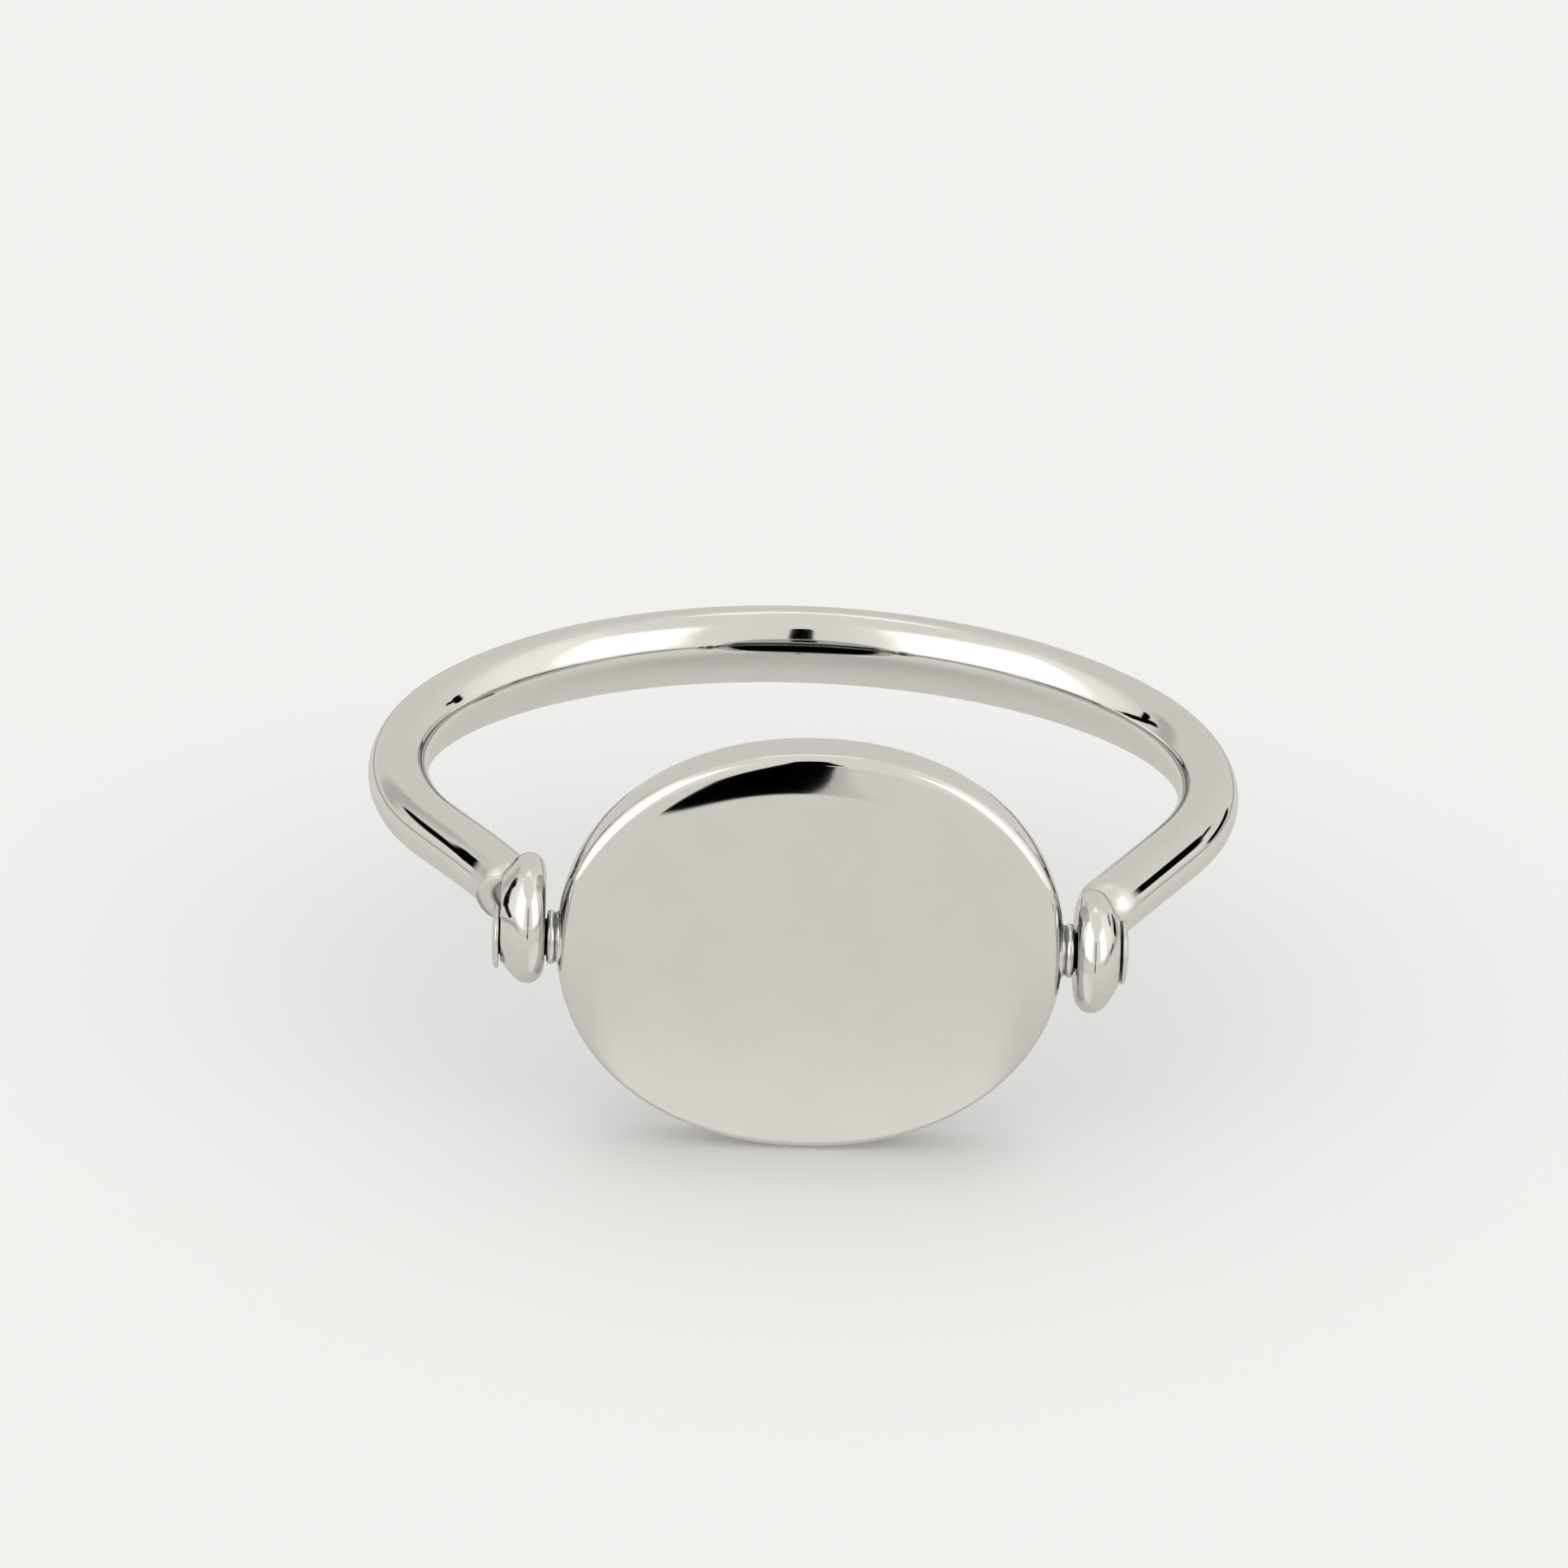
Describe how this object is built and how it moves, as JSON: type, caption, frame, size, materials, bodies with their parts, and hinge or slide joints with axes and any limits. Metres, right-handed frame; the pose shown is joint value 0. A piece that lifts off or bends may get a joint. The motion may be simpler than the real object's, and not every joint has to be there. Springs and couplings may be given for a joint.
{
  "type": "signet ring",
  "caption": "Flip signet ring: a blank oval plate swivels on pivot pins between the eyelets of an open wire shank.",
  "frame": {"origin": "centre of the ring's bounding box: inside the finger opening, level with the pivot axis", "axes": "+Z along the finger, -Y the way the plate's front face looks, +X along the pivot axis to the right of the plate seen from its front"},
  "size_m": [0.0208, 0.0198, 0.0098],
  "materials": {
    "shank": "mirror-polished sterling silver",
    "eyelets": "mirror-polished sterling silver",
    "plate": "mirror-polished sterling silver, blank for engraving",
    "pins": "sterling silver, polished heads",
    "collars": "sterling silver, as turned"
  },
  "bodies": {
    "shank": {"shank": "shank", "eyelet_left": "eyelets", "eyelet_right": "eyelets"},
    "plate": {"signet_plate": "plate", "pivot_pin_left": "pins", "pivot_pin_right": "pins", "collar_left": "collars", "collar_right": "collars"}
  },
  "joints": [
    {"name": "plate_flip", "type": "hinge", "parent": "shank", "child": "plate", "pos_m": [0, -0.00848, 0], "axis": [1, 0, 0], "continuous": true}
  ]
}
